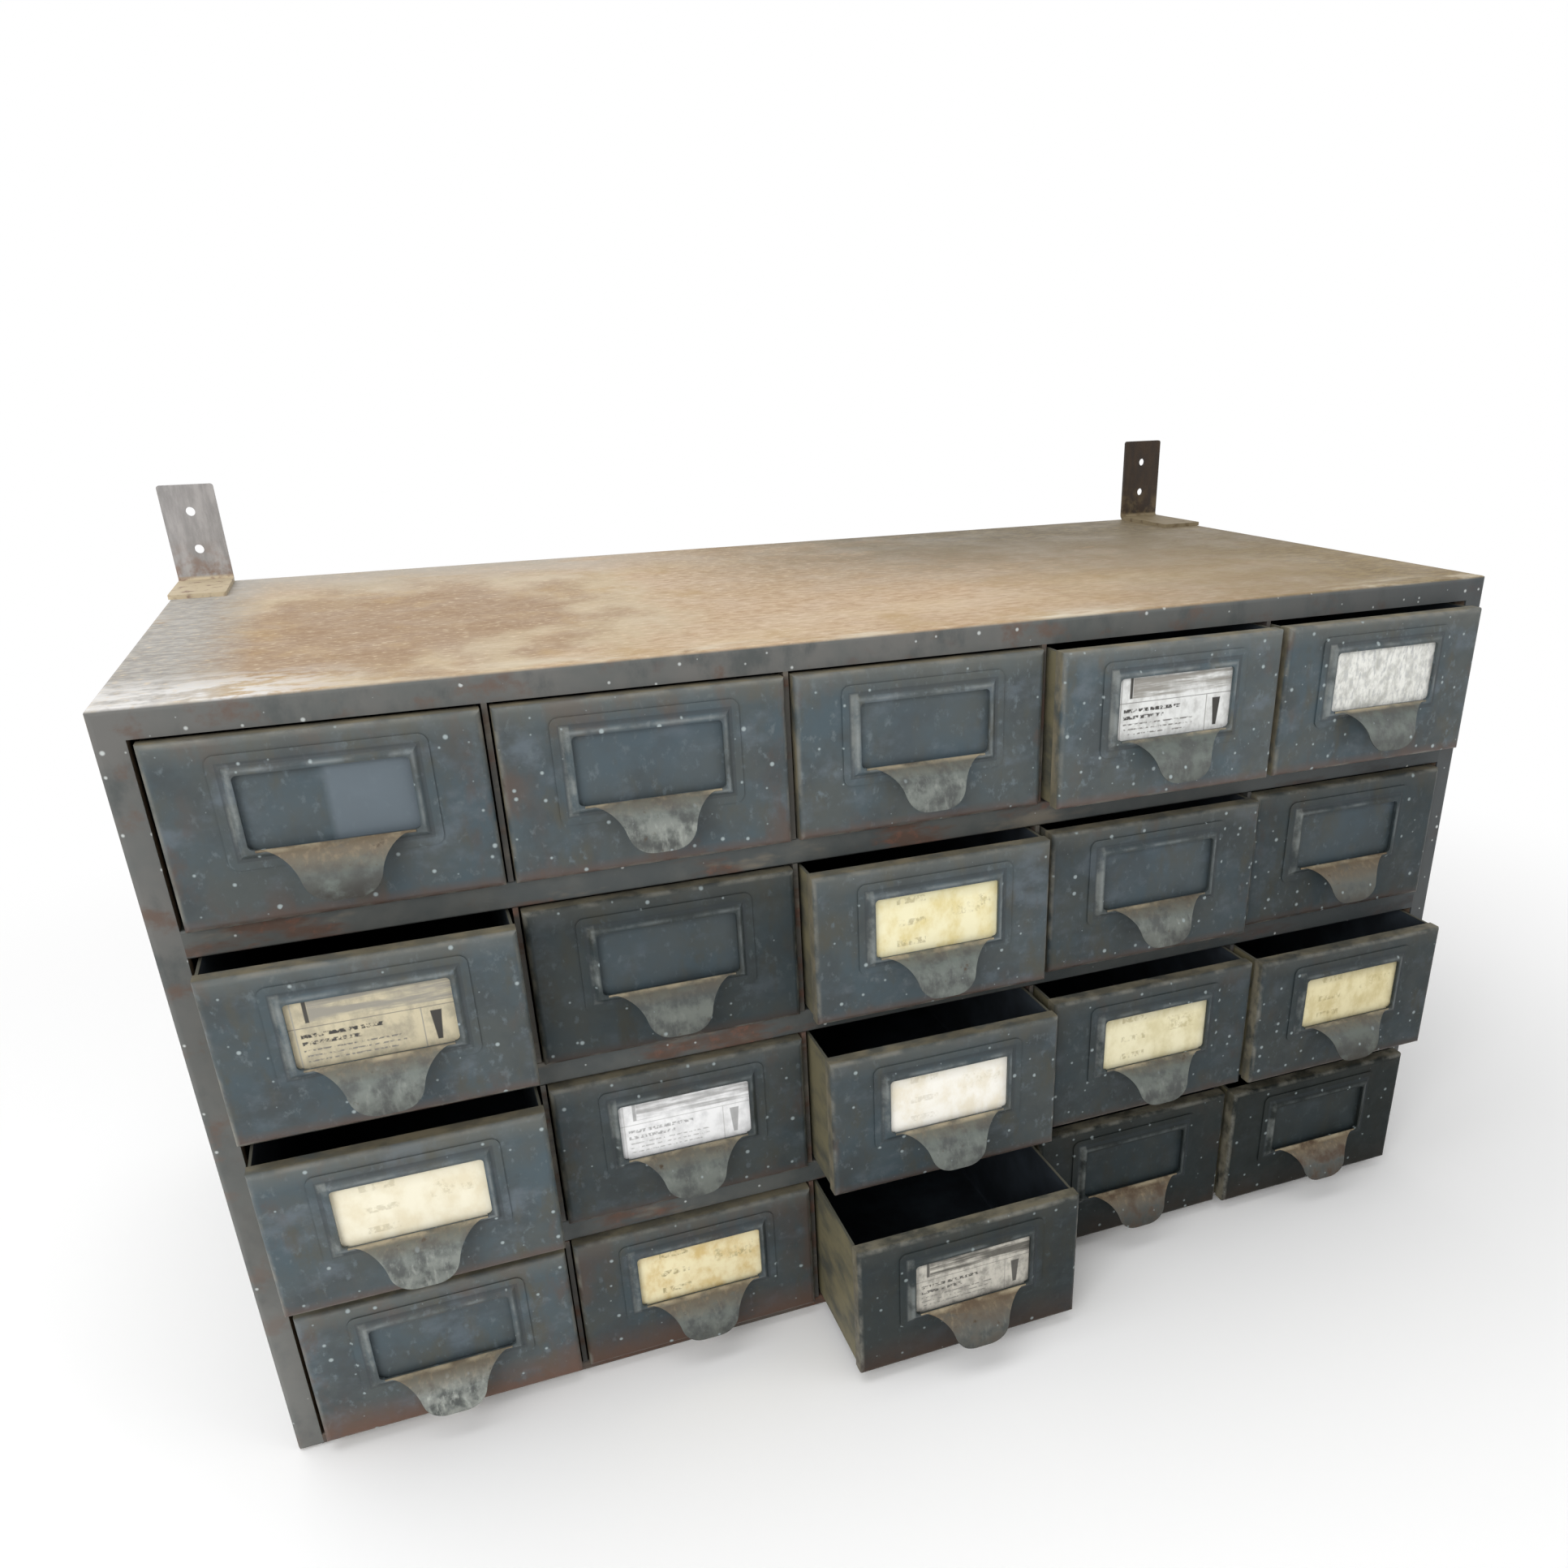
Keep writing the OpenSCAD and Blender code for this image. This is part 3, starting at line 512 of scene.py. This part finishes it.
def card_finish(name, kind, shade, stain_shade, ink, head_wash_and_shadow_shade, origin):
    """Matt stained card: a form's bars, rules and wedge, or pen strokes under a painted shadow of the
    frame's lip, or bare.
    """
    material, tree, shader, place = finish(name, origin)
    across = add(tree, "SeparateXYZ", {0: place}, "X")
    level = across.node.outputs["Z"]
    drift = origin[0] * 0.017 + origin[2] * 0.023
    stain = patches(tree, place, 14 if kind == "pen" else 7, 0.38, 0.7, (1, 1, 1.4), 5.0, drift)
    strokes = patches(tree, place, 1.7, 0.42, 0.56, (1.3, 1, 1.6), 3.0, drift + 1.9)
    coats = [(stain, stain_shade)]

    def bar(middle, half, low, high, taper=0.0):
        """Mask of an upright bar between two levels, its foot narrower by a taper."""
        half = add(tree, "MapRange", {"Value": level, "From Min": low, "From Max": high,
                                      "To Min": half - taper, "To Max": half})
        off = add(tree, "Math", {0: across, 1: middle}, operation="SUBTRACT")
        off = add(tree, "Math", {0: off}, operation="ABSOLUTE")
        off = add(tree, "Math", {0: half, 1: off}, operation="SUBTRACT")
        under = add(tree, "Math", {0: high, 1: level}, operation="SUBTRACT")
        over = add(tree, "Math", {0: level, 1: low}, operation="SUBTRACT")
        inside = add(tree, "Math", {0: under, 1: over}, operation="MINIMUM")
        inside = add(tree, "Math", {0: inside, 1: off}, operation="MINIMUM")
        return add(tree, "MapRange", {"Value": inside, "From Max": 0.5, "To Max": ink})

    # Each mark: its middle and half its width from the drawer's middle line, its lower and upper level
    # (mm). Real print is finer; its strokes are drawn about 2 mm long so that they show.
    if kind == "form":
        head_streaks = patches(tree, place, 9, 0.36, 0.6, (5, 1, 0.4), 4.0, drift)
        coats += [(product(tree, bar(6, 37, 66.5, 82), head_streaks), head_wash_and_shadow_shade)]
        rules = [(-32, 1.3, 66.5, 82, "#45433f"), (0, 43, 63.6, 64.5, "#6d6b67"),
                 (24.5, 0.5, 38, 64, "#8b8883"), (-39, 0.5, 38, 82, "#9d9b96")]
        coats += [(bar(*mark), mark_shade) for *mark, mark_shade in rules]
        coats += [(bar(32, 3.3, 43, 61.5, taper=1.8), "#3b3936")]
        print_lines = [(-16, 21, 57.6, 60.4, "#3f3d3a"), (-22, 15, 53.2, 56, "#4a4845"),
                       (-11, 26, 49.6, 51, "#6f6d69"), (-11, 26, 46.4, 47.8, "#7b7974"),
                       (-13, 23, 43.2, 44.6, "#7b7974")]
        coats += [(product(tree, bar(*mark), strokes), mark_shade) for *mark, mark_shade in print_lines]
    if kind == "pen":
        # Painted shadow: the head of a pen card darkens under the frame's upper lip.
        lip_shadow = add(tree, "MapRange", {"Value": level, "From Min": 71, "From Max": 82, "To Max": 0.6})
        words = patches(tree, place, 3.4, 0.42, 0.6, (1, 1, 1.3), 3.0, drift + 2.9)
        figures = patches(tree, place, 8, 0.45, 0.65, shift=drift + 5.1)
        coats += [(lip_shadow, head_wash_and_shadow_shade)]
        coats += [(product(tree, bar(-17, 10, height - 2.4, height + 2.4), words), "#8f8158")
                  for height in (75.9, 60.9, 47.1)]
        coats += [(product(tree, bar(24, 14, 60, 72), strokes, figures), "#a5986c")]
    if kind == "blank":
        coats += [(patches(tree, place, 2.4, 0.45, 0.7, (0.8, 1, 2.2), 5.0, drift + 3.3), "#b7b8b6")]
    tree.links.new(layers(tree, linear(shade), coats), shader.inputs["Base Color"])
    shader.inputs["Roughness"].default_value = 0.85
    return material


for (row, column), (kind, shade, stain_shade, ink, head_wash_and_shadow_shade) in cards.items():
    origin = ((column - middle_column) * pitch_mm, 0, lowest_front_mm + (rows - row) * row_pitch_mm)
    frame["nodes"][f"label_card_r{row}c{column}"].data.materials[0] = card_finish(
        f"card_{kind}_r{row}c{column}", kind, shade, stain_shade, ink, head_wash_and_shadow_shade, origin)


# Room: a floor painted matt white and a wall that is only the white of the world, with soft light
# from above and from the camera's left. None of it belongs to the cabinet.
def lamp(name, place, target, size, power):
    """A square soft box at a place, turned to a target."""
    data = bpy.data.lights.new(name, "AREA")
    data.size, data.energy = size, power
    made = bpy.data.objects.new(name, data)
    made.location = place
    reach = [t - p for t, p in zip(target, place)]
    made.rotation_euler = (math.atan2(math.hypot(reach[0], reach[1]), -reach[2]), 0,
                           math.atan2(reach[1], reach[0]) - math.pi / 2)
    bpy.context.collection.objects.link(made)


lamp("overhead", (-0.6, 0.1, 2.4), (0, 0, 0.3), 2.2, 27)
lamp("left_front", (-1.8, -2.2, 1.5), (0, 0, 0.25), 1.6, 46)
lamp("right_front", (2.0, -1.8, 1.3), (0, 0, 0.2), 1.6, 10)

floor_half_m, floor_level_m = 9, -0.0005
floor_data = bpy.data.meshes.new("floor")
floor_corners = [(x * floor_half_m, y * floor_half_m, floor_level_m)
                 for x, y in ((-1, -1), (1, -1), (1, 1), (-1, 1))]
floor_data.from_pydata(floor_corners, [], [(0, 1, 2, 3)])
floor = bpy.data.objects.new("floor", floor_data)
bpy.context.collection.objects.link(floor)
floor_paint = bpy.data.materials.new("pale_floor")
floor_paint.use_nodes = True
tree = floor_paint.node_tree
floor_shader = tree.nodes["Principled BSDF"]
floor_shader.inputs["Base Color"].default_value = linear("#ffffff")
floor_shader.inputs["Roughness"].default_value = 0.9


def seen_directly(tree):
    """1 for rays from the camera, from a reflection or through glass, which see the backdrop as white."""
    camera_ray = add(tree, "LightPath", {}, "Is Camera Ray")
    rays = camera_ray.node.outputs
    seen = add(tree, "Math", {0: camera_ray, 1: rays["Is Glossy Ray"]}, operation="MAXIMUM")
    return add(tree, "Math", {0: seen, 1: rays["Is Transmission Ray"]}, operation="MAXIMUM")


# The floor keeps the cabinet's shadow near it and fades to the white of the room further away.
away = add(tree, "VectorMath", {0: add(tree, "TexCoord", {}, "Object")}, "Value", operation="LENGTH")
away = add(tree, "MapRange", {"Value": away, "From Min": 0.6, "From Max": 1.3},
           interpolation_type="SMOOTHSTEP")
away = product(tree, away, seen_directly(tree))
glow = add(tree, "Emission", {"Color": (1, 1, 1, 1), "Strength": 1.0})
faded = add(tree, "MixShader", {0: away, 1: floor_shader.outputs[0], 2: glow})
tree.links.new(faded, tree.nodes["Material Output"].inputs["Surface"])
floor_data.materials.append(floor_paint)

world = bpy.data.worlds.new("room")
bpy.context.scene.world = world
world.use_nodes = True
tree = world.node_tree
strength = add(tree, "MapRange", {"Value": seen_directly(tree), "To Min": 0.46, "To Max": 1.0})
tree.links.new(strength, tree.nodes["Background"].inputs["Strength"])
tree.nodes["Background"].inputs["Color"].default_value = (1, 1, 1, 1)

bpy.context.scene.view_settings.view_transform = "Standard"
